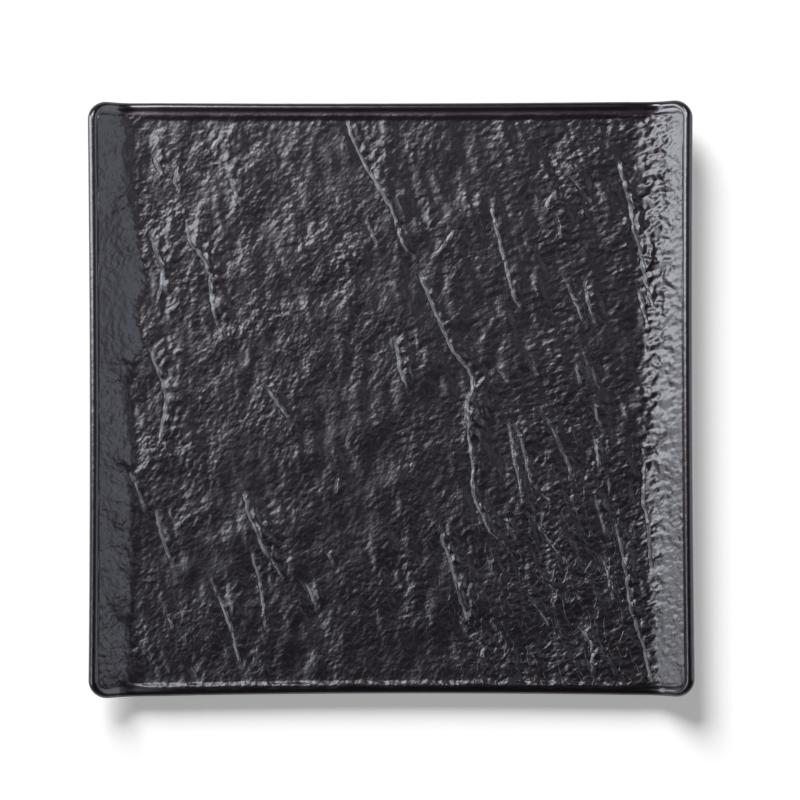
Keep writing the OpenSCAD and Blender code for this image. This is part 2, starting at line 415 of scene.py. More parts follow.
def relief(x, y):
    """Height of the slate's relief above the plain surface at plan points."""
    right = ramp(x, RIGHT_FROM, RIGHT_TO)
    front = ramp(y, FRONT_FROM, FRONT_TO)

    # Coarse pebbles: they run up to the right, flatter on the right side
    coarse = mix(band_noise(COARSE_LEFT, x, y), band_noise(COARSE_RIGHT, x, y), right)
    coarse = coarse + COARSE_SHARP * np.maximum(coarse, 0) ** 2 - COARSE_SHARP / 2
    patch = PATCH_MIDDLE + PATCH_SPREAD * band_noise(COARSE_PATCHES, x, y)
    patch = np.clip(patch, *PATCH_LIMITS)
    height = mix(COARSE_BACK, mix(*COARSE_FRONT, right), front) * patch * COARSE_H * coarse

    # Ridges, long low swells, and thin beds along the clefts' direction
    height = height + mix(*RIDGE_H, right) * band_noise(RIDGES, x, y)
    height = height + SWELL_H * band_noise(SWELLS, x, y)
    height = height + mix(*BED_H, right) * band_noise(BEDS, x, y)

    # Fine veins, most of them at the front right
    kinked = band_noise(VEINS, x, y) + KINK_SHARE * band_noise(VEIN_KINKS, x, y)
    vein = np.exp(-(kinked / VEIN_HALF) ** 2) - VEIN_SINK
    height = height + VEIN_H * mix(VEIN_LEFT, 1, right) * mix(VEIN_BACK, 1, front) * vein

    for points in BANKS:
        add_bank(height, x, y, from_photo(points))
    for strength, points in CLEFTS:
        add_cleft(height, x, y, strength, from_photo(points))
    for strays in STRAYS:
        for strength, line in stray_clefts(*strays):
            add_cleft(height, x, y, strength, line)
    return height


# Pixels, from top to bottom, where each wing's smooth slope gives way to the relief
LEFT_EDGE = [
    (120, 105), (126, 133), (127, 156), (126, 178), (130, 200), (137, 222), (140, 244),
    (145, 267), (148, 285), (136, 305), (140, 325), (145, 345), (133, 362), (121, 385),
    (122, 405), (127, 425), (131, 445), (134, 460), (126, 475), (133, 498), (130, 530),
    (131, 575), (132, 600), (123, 622), (126, 650), (130, 668), (122, 690)]
RIGHT_EDGE = [
    (672, 105), (671, 150), (673, 200), (668, 240), (670, 290), (667, 330), (662, 360),
    (664, 385), (659, 420), (663, 460), (668, 500), (663, 540), (660, 580), (657, 620),
    (659, 660), (655, 690)]
# Pixels where the right wing's bright foot begins
RIGHT_FOOT = [
    (632, 105), (633, 240), (638, 290), (641, 325), (651, 350), (649, 380), (654, 410),
    (645, 435), (637, 460), (637, 540), (642, 570), (647, 600), (649, 690)]

# Wander of the relief's start: a kind of noise, in millimetres
START_WANDER = (42, 8, 1, 0)
# Length over which the relief sets in on the left and the right wing, and the longer one towards
# the left wing's back, which begins between two distances from the plate's middle
START_RUN, BACK_RUN, BACK_FROM_TO = (4.0, 5.0), 9.0, (60.0, 90.0)
# Least shares of the coarse and the fine relief on the left and the right wing
COARSE_LEAST, FINE_LEAST = (0.28, 0.2), (1.0, 0.6)
# At the lips: how far in from a wing's bead the relief begins, its run and its least share
LIP_CLEAR, LIP_RUN, LIP_LEAST = 0.6, 1.8, 0.12

# Usual start of the relief on the left and the right, and the share of its wander that a wing's
# foot follows, with its limits. The foot's own wander: noise and size. Both fade out towards the
# edge between two distances from it.
USUAL_START, FOLLOW_SHARE, FOLLOW_LIMITS = (16.0, 10.5), 0.55, (-1.6, 2.0)
TOE_WANDER, TOE_WANDER_W, TOE_FADE = (43, 12, 1, 0), 0.25, (3.0, 18.0)

# Lean of the glaze. On the left it makes up a wing's slope as far as a little past the start of
# the relief, over a run; further in, at the back, it is small and ends between two distances.
FRAY_LEFT, FRAY_RIGHT, FRAY_W = (44, 3.0, 1, 0), (45, 5.0, 1, 0), 0.8
LEAN_PAST, LEAN_RUN = 0.6, 2.4
BACK_LEAN, BACK_LEAN_RUN, BACK_LEAN_END = math.radians(9), 3.0, (32.0, 20.0)
# On the right, where the foot is fuller, it sets in between two distances from the edge and ends
# over a run at the foot
RIGHT_LEAN, RIGHT_LEAN_FROM, RIGHT_LEAN_RUN = math.radians(-8.5), (13.0, 17.0), 4.0
# Length over which the lean sets in at a lip
LIP_LEAN_RUN = 3.0


def inset_of(line, y):
    """Distance in from the wing's edge of a line of pixels that runs from top to bottom."""
    columns, rows = np.array(line, float).T
    return HALF_W - np.abs(np.interp(CENTRE_PX[1] - y / PX, rows, columns) - CENTRE_PX[0]) * PX


def relief_start(x, y):
    """Distance in from the wing's edge at which its smooth slope gives way to the relief."""
    return np.where(x < 0, inset_of(LEFT_EDGE, y), inset_of(RIGHT_EDGE, y))


def relief_mask(x, y, least=COARSE_LEAST):
    """Share of the relief that shows: all in the well, and the least shares on the two wings."""
    u = HALF_W - np.abs(x)
    start = relief_start(x, y) + band_noise(START_WANDER, x, y)
    left_run = mix(START_RUN[0], BACK_RUN, ramp(y, *BACK_FROM_TO))
    in_well = smooth((u - start) / np.where(x < 0, left_run, START_RUN[1]))
    mask = mix(np.where(x < 0, *least), 1.0, in_well)
    end = HALF_D - np.abs(y)
    lip_step = np.where(y > 0, BACK_STEP[0], FRONT_STEP[0])
    lip_out = mix(WING_BEAD_W + LIP_CLEAR, lip_step, lip_share(u))
    return mask * mix(LIP_LEAST, 1.0, smooth((end - lip_out) / LIP_RUN))


def foot_wander(x, y):
    """How far the foot of a wing wanders inwards, following the start of the relief."""
    follow = (relief_start(x, y) - np.where(x < 0, *USUAL_START)) * FOLLOW_SHARE
    wander = np.clip(follow + TOE_WANDER_W * band_noise(TOE_WANDER, x, y), *FOLLOW_LIMITS)
    return wander * ramp(HALF_W - np.abs(x), *TOE_FADE)


def wing_lean(x, y):
    """Angle by which the glaze leans inwards where a wing's slope runs on past its foot."""
    u = HALF_W - np.abs(x)
    start = relief_start(x, y) + FRAY_W * band_noise(FRAY_LEFT, x, y)
    missing = np.maximum(WING_ANGLE - wing_slope(u - foot_wander(x, y)), 0)
    left = missing * smooth((start + LEAN_PAST - u) / LEAN_RUN)
    past = smooth((u - start) / BACK_LEAN_RUN) * ramp(u, *BACK_LEAN_END)
    left += BACK_LEAN * ramp(y, *BACK_FROM_TO) * past
    foot = inset_of(RIGHT_FOOT, y) + FRAY_W * band_noise(FRAY_RIGHT, x, y)
    right = RIGHT_LEAN * ramp(u, *RIGHT_LEAN_FROM) * smooth((foot - u) / RIGHT_LEAN_RUN)
    end = HALF_D - np.abs(y)
    lip_out = np.where(y > 0, BACK_STEP[1], FRONT_STEP[1])
    return np.where(x < 0, left, right) * smooth((end - lip_out) / LIP_LEAN_RUN)


def top_height(x, y):
    """The plain upper surface, in from the bead."""
    u = HALF_W - np.abs(x)
    share = lip_share(u)
    step = [np.where(y > 0, back, front) for back, front in zip(BACK_STEP, FRONT_STEP)]
    start = mix(WING_BEAD_W + LIP_END_W / 4, step[0], share)
    end = mix(WING_BEAD_W + LIP_END_W, step[1], share)
    down = smooth((HALF_D - np.abs(y) - start) / (end - start))
    return WELL_H + wing_rise(u - foot_wander(x, y)) + lip_rise(x, y) * (1 - down)


# Cells of the well's grid across the wings and between the lips, and insets of its edge
GRID_X, GRID_Y = 344, 208
GRID_SIDE_IN, GRID_END_IN = WING_BEAD_W + LIP_END_W + 0.4, BACK_STEP[1] + 0.5
# Finer points for each cell where the columns gather, how strongly they do, and the rows at the
# front and back over which they spread out again
GATHER_FINE, GATHER, GATHER_ROWS = 3, 6.0, 28
# Steepness of the relief at which columns start to gather, and do so fully
STEEP_FROM, STEEP_TO = 0.2, 0.55
# Rounds in which the gathering is spread out, and how far along and across the columns
SPREAD_ROUNDS, SPREAD_ALONG, SPREAD_ACROSS = 3, 4, 2
# Length of the grid's edge on each side of a corner that goes round the plan's corner arc
CORNER_RUN = CORNER_R * math.pi / 4
# One underside station for each of these many stations of the rim
THIN = 4
# Shares of the lip's step at the rings between the bead and the grid
LIP_SHARES = (-0.25, 0, 0.17, 0.34, 0.5, 0.66, 0.83, 1)
BEAD_RINGS = 8
# Unevenness of the bead, as a share of its radius, and of the glaze underneath, in millimetres
BEAD_UNEVEN, BEAD_NOISE = 0.008, (51, 14, 1, 0)
UNDER_UNEVEN, UNDER_NOISE = 0.035, (61, 22, 1, 0)
# Rings of the cove under the rim, as shares of its width, and its least corner radius
COVE_RINGS, COVE_LEAST_R = (0.1, 0.2, 0.3, 0.42, 0.6, 0.8, 1.0), 3.0
# How the lip's rise dies out under the cove: shares of the cove's width and of the rise
COVE_SHARES, LIP_UNDER = [0, 0.15, 0.35, 0.6, 1], [1, 0.85, 0.5, 0.15, 0]
# Flank of the foot's root: (share of its width, share of its drop)
ROOT_PROFILE = ((0, 0), (0.3, 0.1), (0.5, 0.3), (0.7, 0.6), (0.88, 0.88), (1, 1))
# Rings inside the foot, as shares of the way to the middle, and their first and last corner radius
INNER_RINGS, INNER_R = (0.12, 0.3, 0.5, 0.7, 0.88), (15.0, 1.0)
# Height above the foot's bare rim from which the glaze underneath is uneven
UNEVEN_FROM = 0.5


def edge_stations(cells, half):
    """Stations along one edge from its + corner: round share, grid share and turn in degrees."""
    t = 1 - 2 * np.arange(cells) / cells
    run = (1 - np.abs(t)) * half
    turn = -45 * np.sign(t) * np.clip(1 - run / CORNER_RUN, 0, 1)
    return np.clip(t * half / (half - CORNER_RUN), -1, 1), t, turn


def stations():
    """Stations round the plan, anticlockwise from the back right corner.

    Each has shares of the straight half sides, on the round plan and on the grid's edge, and the
    direction of the outward normal.
    """
    end_r, end_g, end_t = edge_stations(GRID_X, HALF_W - GRID_SIDE_IN)
    side_r, side_g, side_t = edge_stations(GRID_Y, HALF_D - GRID_SIDE_IN)
    ones_e, ones_s = np.ones(GRID_X), np.ones(GRID_Y)
    kx = [np.concatenate([e, -s, -e, s]) for e, s in ((end_r, ones_s), (end_g, ones_s))]
    ky = [np.concatenate([e, s, -e, -s]) for e, s in ((ones_e, side_r), (ones_e, side_g))]
    angle = np.radians(np.concatenate([90 + end_t, 180 + side_t, 270 + end_t, 360 + side_t]))
    return kx, ky, angle


def ring_points(inset, radius, thin=1, side_inset=None, squared=0.0):
    """Plan points of a ring `inset` from the ends and `side_inset` from the sides.

    A pair of insets is for the back and the front. The corners have the radius, `squared` goes
    from 0 on the round plan to 1 on the grid's edge, and `thin` keeps one point in so many.
    """
    (kx_round, kx_grid), (ky_round, ky_grid), angle = stations()
    kx, ky = mix(kx_round, kx_grid, squared), mix(ky_round, ky_grid, squared)
    side = inset if side_inset is None else side_inset
    end = np.where(ky > 0, *inset) if side_inset is not None else inset
    x = kx * (HALF_W - side - radius) + radius * np.cos(angle)
    y = ky * (HALF_D - side - radius) + radius * np.sin(angle)
    y = y - np.sign(y) * (end - side) * lip_share(HALF_W - np.abs(x)) * (np.abs(ky) > 1 - 1e-9)
    return x[::thin], y[::thin]


def carved(x, y):
    """Points of the upper surface with its relief."""
    z = top_height(x, y) + relief(x, y) * relief_mask(x, y)
    return np.stack([*bowed(x, y), z], axis=-1)


def bead_points(share):
    """A ring of the bead, at a share of its turn from the underside to the inner crease."""
    angle = stations()[2]
    x, y = ring_points(BEAD_R, CORNER_R - BEAD_R)
    u = HALF_W - np.abs(x)
    slope = wing_slope(u)
    lean = np.arctan(np.tan(slope) * np.abs(np.cos(angle)))
    proud = mix(BEAD_PROUD, FRONT_PROUD, lip_share(u) * (y < 0))
    crease = math.pi - np.arcsin((BEAD_R - proud) / BEAD_R)
    turn = lean + mix(-math.pi / 2, crease, share)
    radius = BEAD_R * (1 - BEAD_UNEVEN * np.abs(band_noise(BEAD_NOISE, x, y)))
    middle = WELL_H + wing_rise(u) + lip_rise(x, y) - (BEAD_R - proud) / np.cos(slope)
    out = radius * np.cos(turn)
    plan = bowed(x + out * np.cos(angle), y + out * np.sin(angle))
    return np.stack([*plan, middle + radius * np.sin(turn)], axis=-1)


def cove_points(share):
    """A ring of the underside's cove, from the rim inwards."""
    inset = mix(BEAD_R, COVE_W, share)
    x, y = ring_points(inset, max(CORNER_R - inset, COVE_LEAST_R), THIN)
    u = HALF_W - np.abs(x)
    rise = np.interp(share, COVE_SHARES, LIP_UNDER)
    z = (WELL_H + wing_rise(u) + rise * lip_rise(x, y)
         - mix(RIM_T, WALL, share) / np.cos(wing_slope(u)))
    return np.stack([*bowed(x, y), z + glaze_swell(x, y)], axis=-1)


def glaze_swell(x, y):
    """Slow unevenness of the glaze on the underside."""
    return UNDER_UNEVEN * band_noise(UNDER_NOISE, x, y)


def level_points(inset, radius, z):
    """A level ring of the underside."""
    x, y = ring_points(inset, radius, THIN)
    return np.stack([x, y, z + glaze_swell(x, y) * (z > FOOT_H + UNEVEN_FROM)], axis=-1)


def root_points(way):
    """Rings of one flank of the foot's root, from the underside down."""
    made = []
    for share, drop in ROOT_PROFILE:
        out = GLAZE_STEP + ROOT_FLANK_W * (1 - share)
        edge = FOOT_INSET - out if way > 0 else FOOT_INSET + FOOT_W + out
        made.append(level_points(
            edge, FOOT_CORNER_R + FOOT_INSET - edge, mix(UNDER_H, FOOT_H, drop)))
    return made


def loop_of_grid():
    """The grid's edge vertices, in the order of the stations."""
    index = np.arange((GRID_X + 1) * (GRID_Y + 1)).reshape(GRID_Y + 1, GRID_X + 1)
    return np.concatenate([
        index[-1, :0:-1], index[:0:-1, 0], index[0, :-1], index[:-1, -1]])


def band_faces(inner, outer):
    """Triangles between two rings with as many points."""
    a, b = inner, outer
    a1, b1 = np.roll(a, -1), np.roll(b, -1)
    return np.concatenate([np.stack([a, b, b1], 1), np.stack([a, b1, a1], 1)])


def thinning_faces(fine, coarse):
    """Triangles from a ring to one with THIN times fewer points."""
    faces = []
    nxt, after = np.roll(coarse, -1), np.roll(fine, -THIN)
    steps = [fine.reshape(-1, THIN)[:, k] for k in range(THIN)] + [after.reshape(-1, THIN)[:, 0]]
    half = THIN // 2
    for k in range(THIN):
        hub = coarse if k < half else nxt
        faces.append(np.stack([steps[k], hub, steps[k + 1]], 1))
    faces.append(np.stack([steps[half], coarse, nxt], 1))
    return np.concatenate(faces)


def spread_out(values, reach):
    """Each row's mean with the rows up to `reach` away from it."""
    wide = np.pad(values, ((reach, reach), (0, 0)), "edge")
    return sum(wide[k:k + len(values)] for k in range(2 * reach + 1)) / (2 * reach + 1)


def gathered_columns(rows):
    """Where each row's columns cross it: closer together where the relief is steep."""
    half = HALF_W - GRID_SIDE_IN
    fine = np.linspace(-half, half, GRID_X * GATHER_FINE + 1)
    x, y = np.broadcast_arrays(fine[None, :], rows * (HALF_D - GRID_END_IN))
    height = relief(x.ravel(), y.ravel()).reshape(x.shape)
    steep = np.abs(np.diff(height, axis=1)) / (fine[1] - fine[0])
    steep = np.clip((steep - STEEP_FROM) / (STEEP_TO - STEEP_FROM), 0, 1)
    for _ in range(SPREAD_ROUNDS):
        steep = spread_out(spread_out(steep, SPREAD_ALONG).T, SPREAD_ACROSS).T
    ends = smooth((1 - np.abs(rows)) * GRID_Y / 2 / GATHER_ROWS)
    dense = 1 + GATHER * ends * steep
    total = np.concatenate([np.zeros((len(rows), 1)), np.cumsum(dense, axis=1)], axis=1)
    total /= total[:, -1:]
    share = np.linspace(0, 1, GRID_X + 1)
    return np.stack([np.interp(share, row, fine) for row in total])


def body_mesh():
    """The whole glazed body as one closed mesh."""
    j = np.linspace(-1, 1, GRID_Y + 1)[:, None]
    x = gathered_columns(j)
    inset = mix(GRID_SIDE_IN, GRID_END_IN, lip_share(HALF_W - np.abs(x)))
    plans = [(x.ravel(), (j * (HALF_D - inset)).ravel())]
    index = np.arange(x.size).reshape(GRID_Y + 1, GRID_X + 1)
    low_l, low_r = index[:-1, :-1].ravel(), index[:-1, 1:].ravel()
    high_l, high_r = index[1:, :-1].ravel(), index[1:, 1:].ravel()
    faces = [np.stack([low_l, low_r, high_l], 1), np.stack([low_r, high_r, high_l], 1)]

    steps = len(LIP_SHARES)
    for k, lip in reversed(list(enumerate(LIP_SHARES))):
        end_inset = mix(*BACK_STEP, lip), mix(*FRONT_STEP, lip)
        share = (k + 1) / (steps + 1)
        side_inset = mix(WING_BEAD_W, GRID_SIDE_IN, share)
        radius = (CORNER_R - side_inset) * (1 - share)
        plans.append(ring_points(end_inset, radius, 1, side_inset, share))
    top_plan = np.concatenate(plans, axis=1)
    points = [carved(*top_plan)]
    points += [bead_points(k / BEAD_RINGS) for k in range(BEAD_RINGS, -1, -1)]
    last, count, ring_size = loop_of_grid(), x.size, 2 * (GRID_X + GRID_Y)
    for _ in range(steps + BEAD_RINGS + 1):
        here = np.arange(count, count + ring_size)
        faces.append(band_faces(last, here))
        count, last = count + ring_size, here

    under = [cove_points(share) for share in COVE_RINGS]
    under += root_points(1) + root_points(-1)[::-1]
    inner = FOOT_INSET + FOOT_W + GLAZE_STEP + ROOT_FLANK_W
    under += [level_points(mix(inner, HALF_D, s), mix(*INNER_R, s), UNDER_H) for s in INNER_RINGS]
    for k, ring in enumerate(under):
        here = np.arange(count, count + len(ring))
        faces.append(thinning_faces(last, here) if k == 0 else band_faces(last, here))
        points.append(ring)
        count, last = count + len(ring), here
    points.append(np.array([[0, 0, UNDER_H]]))
    faces.append(np.stack([last, np.full(len(last), count), np.roll(last, -1)], 1))
    return np.concatenate(points), np.concatenate(faces), top_plan


def mesh_object(name, points, faces):
    """A smooth-shaded object from points in millimetres and triangles."""
    mesh = bpy.data.meshes.new(name)
    mesh.vertices.add(len(points))
    mesh.vertices.foreach_set("co", (points * MM).astype(np.float32).ravel())
    mesh.loops.add(faces.size)
    mesh.loops.foreach_set("vertex_index", faces.astype(np.int32).ravel())
    mesh.polygons.add(len(faces))
    mesh.polygons.foreach_set("loop_start", np.arange(0, faces.size, 3, dtype=np.int32))
    mesh.polygons.foreach_set("use_smooth", np.ones(len(faces), bool))
    mesh.update(calc_edges=True)
    made = bpy.data.objects.new(name, mesh)
    bpy.context.scene.collection.objects.link(made)
    return made


def told(thing, name, values):
    """Give the first points of an object's mesh a value each, for its material to read."""
    attribute = thing.data.attributes.new(name, "FLOAT", "POINT")
    every = np.zeros(len(thing.data.vertices), np.float32)
    every[:len(values)] = values
    attribute.data.foreach_set("value", every)


# Glaze. Its noises are (turn in degrees, stretch, scale in cycles a metre, detail) and the bump
# heights are in millimetres.
# Fine pebbles on the left and the right, with heights at the back and the front, and the patches
# in which they are calmer: the range of the noise and what it turns into
PEBBLES_LEFT, PEBBLES_RIGHT = (52, 1.1, 390, 0.9), (24, 1.4, 420, 0.7)
PEBBLE_LEFT_H, PEBBLE_RIGHT_H = (0.80, 0.82), (1.08, 1.3)
CALM_PATCHES, CALM_RANGE = (0, 1, 45, 2), (0.3, 0.7, 0.38, 0.98)
# Bold round pebbles where the well rises into the right wing: where along X they set in and die
# out, their height, and how much they calm the fine ones and lower the roughness
BOLD_PEBBLES, BOLD_IN, BOLD_OUT = (15, 1.3, 340, 0.3), (109.0, 116.0), (131.0, 124.0)
BOLD_H, BOLD_CALM, BOLD_GLOSS = 1.6, 0.5, 0.03
# Fine curling veins: noise, distortion, half width in its units, height, and share at the back
CURLS, CURL_DISTORTION = (112, 2.0, 170, 1), 0.7
CURL_HALF, CURL_H, CURL_BACK = 0.04, 0.09, 0.4
GRAIN, GRAIN_H = (35, 1.5, 900, 0.5), 0.06
# Clefts: half the width and the height of the strongest one's face, and how far its vigour
# clears it of pebbles and grain
FACE_HALF_W, FACE_H, CLEAR_GAIN, CLEAR_MOST = 0.55, 0.11, 1.3, 0.9
# Painted highlight, as paler glaze, along the strongest cleft: half its width, how fast it fades
# with the vigour, and how it breaks up: the range of the noise and what it turns into
CLEFT_HIGHLIGHT_W, CLEFT_HIGHLIGHT_POWER = 0.8, 1.5
HIGHLIGHT_BREAKS, HIGHLIGHT_BREAK_RANGE = (0, 1, 130, 1.5), (0.36, 0.62, 0.3, 1.5)
# Colours of the dark and the pale clouds, of the front, and of the painted cleft highlight
GLAZE_DARK, GLAZE_PALE = (0.0040, 0.0018, 0.0036, 1), (0.0080, 0.0042, 0.0074, 1)
GLAZE_FRONT, GLAZE_CLEFT_HIGHLIGHT = (0.0018, 0.0006, 0.0015, 1), (0.064, 0.064, 0.072, 1)
# Noise of the clouds, and how far the front's colour covers them
CLOUDS, FRONT_SHARE = (0, 1, 30, 4), 0.5
# Roughness in patches, how much smoother and glossier the rim is, and the glaze's refraction
ROUGH_PATCHES, ROUGHNESS, RIM_CALM, RIM_GLOSS = (0, 1, 160, 3), (0.33, 0.39), 0.75, 0.12
GLAZE_IOR = 1.7

# Bare clay: clouds and grain, specks with their range, colours and roughness
CLAY_CLOUDS, CLAY_GRAIN, CLAY_GRAIN_H = (0, 1, 90, 4), (0, 1, 1500, 3), 0.1
CLAY_SPECKS, SPECK_FROM, SPECK_TO = (0, 1, 900, 1), 0.66, 0.72
CLAY_DARK, CLAY_PALE = (0.24, 0.215, 0.19, 1), (0.35, 0.32, 0.285, 1)
CLAY_SPECK, CLAY_ROUGHNESS = (0.07, 0.06, 0.05, 1), (0.78, 0.92)

# Floor: half its width, its colour, and its own light where it is seen
FLOOR_HALF, FLOOR_WHITE, FLOOR_LIFT = 4000.0, (0.9, 0.9, 0.9, 1), 0.335
# The sky's strength at the horizon and above
SKY_AT_HORIZON, SKY_ABOVE = 0.16, 0.0
# Lamps: (name, azimuth, elevation, distance, size in metres, radiance, colour)
PANELS = [
    ("overhead", 119, 66, 0.9, (0.8, 0.8), 0.26, (0.98, 0.96, 1.04)),
    ("key", 117, 46, 0.85, (0.36, 0.36), 11.0, (0.98, 0.96, 1.03)),
    ("left_low", 162, 17, 1.0, (0.45, 0.38), 8.2, (0.95, 0.98, 1.08)),
    ("left_high", 160, 42, 0.95, (0.46, 0.5), 7.4, (0.95, 0.98, 1.08)),
    ("left_front", 204, 36, 1.3, (0.6, 0.5), 4.0, (0.95, 0.98, 1.08)),
    ("right_card", 8, 20, 1.3, (1.1, 0.64), 1.6, (0.92, 0.96, 1.15)),
    ("right_high", 4, 50, 1.3, (1.0, 0.6), 0.5, (0.92, 0.96, 1.15)),
]
# The sun of the drop shadow: azimuth, elevation and width in degrees, and its strength
SUN_AZIMUTH, SUN_ELEVATION, SUN_WIDTH, SUN_STRENGTH = 114, 33, 28, 0.73
# Camera: its place and aim in metres, its lens and sensor in millimetres, and its clipping
CAMERA_AT, CAMERA_AIM = (0.004, -0.02, 1.5), (0.00405, -0.00045, 0.012)
CAMERA_LENS, CAMERA_SENSOR, CAMERA_CLIP = 150.0, 36.0, (0.05, 50.0)


class Shader:
    """A material's node tree, with short calls to add nodes and link them."""

    def __init__(self, name):
        self.material = bpy.data.materials.new(name)
        self.material.use_nodes = True
        self.tree = self.material.node_tree
        self.tree.nodes.clear()

    def add(self, kind, props=(), **inputs):
        """A node of a kind, with properties set and inputs set or linked by name."""
        node = self.tree.nodes.new("ShaderNode" + kind)
        for key, value in dict(props).items():
            setattr(node, key, value)
        for key, value in inputs.items():
            socket = node.inputs[int(key[1:]) if key[0] == "i" and key[1:].isdigit()
                                 else key.replace("_", " ")]
            if isinstance(value, bpy.types.NodeSocket):
                self.tree.links.new(value, socket)
            else:
                socket.default_value = value
        return node

    def math(self, operation, a, b=0.0):
        return self.add("Math", {"operation": operation}, i0=a, i1=b).outputs[0]

    def times(self, a, b):
        return self.math("MULTIPLY", a, b)

    def plus(self, a, b):
        return self.math("ADD", a, b)

    def minus(self, a, b):
        return self.math("SUBTRACT", a, b)

    def ramp(self, value, start, end):
        """Smooth step from 0, where the value is at the start, to 1, where it is at the end."""
        return self.add("MapRange", {"interpolation_type": "SMOOTHSTEP"}, i0=value, i1=start,
                        i2=end).outputs[0]

    def course(self, value, start, end, low=0.0, high=1.0):
        """Straight course from low, where the value is at the start, to high at the end."""
        return self.add("MapRange", i0=value, i1=start, i2=end, i3=low, i4=high).outputs[0]

    def mix(self, a, b, share):
        """The value at a share of the way from a to b."""
        return self.add("Mix", {"data_type": "FLOAT"}, Factor=share, i2=a, i3=b).outputs[0]

    def blend(self, a, b, share):
        """The colour at a share of the way from a to b."""
        return self.add("Mix", {"data_type": "RGBA"}, Factor=share, A=a, B=b).outputs[2]

    def told(self, name):
        """A value that the mesh's points were told."""
        return self.add("Attribute", {"attribute_name": name}).outputs["Fac"]

    def place(self, turn=0.0, stretch=1.0):
        """Object coordinates for a pattern that runs at `turn` degrees, `stretch` times long."""
        coords = self.add("TexCoord").outputs["Object"]
        turned = self.add("Mapping", Vector=coords, Rotation=(0, 0, -math.radians(turn)))
        return self.add("Mapping", Vector=turned.outputs[0], Scale=(1 / stretch, 1, 1)).outputs[0]

    def noise(self, kind, distortion=0.0):
        """Noise of a kind: (turn, stretch, scale, detail)."""
        turn, stretch, scale, detail = kind
        return self.add("TexNoise", Vector=self.place(turn, stretch), Scale=scale, Detail=detail,
                        Distortion=distortion).outputs["Fac"]

    def finish(self, bsdf):
        out = self.add("OutputMaterial")
        self.tree.links.new(bsdf.outputs[0], out.inputs["Surface"])
        return self.material


def pebbles(s, right, front, bold):
    """Bump of the pebbles, larger and rounder where they are bold."""
    left_h = s.course(front, 0, 1, *PEBBLE_LEFT_H)
    right_h = s.course(front, 0, 1, *PEBBLE_RIGHT_H)
    fine = s.mix(s.noise(PEBBLES_LEFT), s.noise(PEBBLES_RIGHT), right)
    fine = s.times(fine, s.course(s.noise(CALM_PATCHES), *CALM_RANGE))
    fine = s.times(fine, s.mix(left_h, right_h, right))
    fine = s.times(fine, s.minus(1.0, s.times(bold, BOLD_CALM)))
    return s.plus(fine, s.times(s.noise(BOLD_PEBBLES), s.times(bold, BOLD_H)))


def curls(s, right, front, side):
    """Bump of the fine curling veins: ridges along the middle value of a smooth noise."""
    off = s.math("ABSOLUTE", s.minus(s.noise(CURLS, CURL_DISTORTION), 0.5))
    share = s.plus(s.times(right, front), s.times(right, CURL_BACK))
    share = s.times(share, s.minus(1.0, side))
    return s.times(s.ramp(off, CURL_HALF, 0.0), s.times(share, CURL_H))


def glaze_colour(s, front, off, vigour):
    """Near black in clouds, darker at the front, with a painted highlight along each cleft."""
    colour = s.blend(GLAZE_DARK, GLAZE_PALE, s.noise(CLOUDS))
    colour = s.blend(colour, GLAZE_FRONT, s.times(front, FRONT_SHARE))
    # Painted highlight along each cleft's face, as pale glaze colour, broken up by noise
    thin = s.times(s.ramp(off, CLEFT_HIGHLIGHT_W, 0.0), s.math("POWER", vigour, CLEFT_HIGHLIGHT_POWER))
    thin = s.times(thin, s.course(s.noise(HIGHLIGHT_BREAKS), *HIGHLIGHT_BREAK_RANGE))
    return s.blend(colour, GLAZE_CLEFT_HIGHLIGHT, thin)


def glaze_material():
    """Black satin glaze with a pebbled grain, sharp clefts and a glossier rim."""
    s = Shader("black_glaze")
    x, y = s.add("SeparateXYZ", Vector=s.place()).outputs[:2]
    right = s.ramp(x, RIGHT_FROM * MM, RIGHT_TO * MM)
    front = s.ramp(y, FRONT_FROM * MM, FRONT_TO * MM)
    side = s.ramp(x, *(place * MM for place in BOLD_IN))
    slope = s.ramp(x, *(place * MM for place in BOLD_OUT))
    bold = s.times(s.times(side, slope), s.minus(1.0, front))
    rim, vigour, across = s.told("rim"), s.told("cleft_vigour"), s.told("cleft_across")
    off = s.math("ABSOLUTE", across)

    # Pebbles and grain stop at a cleft's smooth face, and are calmer on the rim
    clear = s.times(s.ramp(off, FACE_HALF_W * 2, FACE_HALF_W), s.times(vigour, CLEAR_GAIN))
    rest = s.minus(1.0, s.math("MINIMUM", clear, CLEAR_MOST))
    rest = s.times(rest, s.minus(1.0, s.times(rim, RIM_CALM)))
    face = s.times(s.ramp(across, -FACE_HALF_W, FACE_HALF_W), s.times(vigour, FACE_H))

    height = s.plus(pebbles(s, right, front, bold), curls(s, right, front, side))
    height = s.times(height, s.told("relief_share"))
    height = s.times(s.plus(height, s.times(s.noise(GRAIN), GRAIN_H)), rest)
    height = s.plus(height, face)
    normal = s.add("VectorRotate", {"rotation_type": "Y_AXIS"}, Angle=s.told("lean"),
                   Vector=s.add("NewGeometry").outputs["Normal"]).outputs[0]
    bump = s.add("Bump", Strength=1.0, Distance=MM, Height=height, Normal=normal).outputs[0]

    gloss = s.plus(s.times(rim, RIM_GLOSS), s.times(bold, BOLD_GLOSS))
    rough = s.minus(s.course(s.noise(ROUGH_PATCHES), 0, 1, *ROUGHNESS), gloss)
    return s.finish(s.add(
        "BsdfPrincipled", Base_Color=glaze_colour(s, front, off, vigour), Roughness=rough,
        Normal=bump, IOR=GLAZE_IOR))


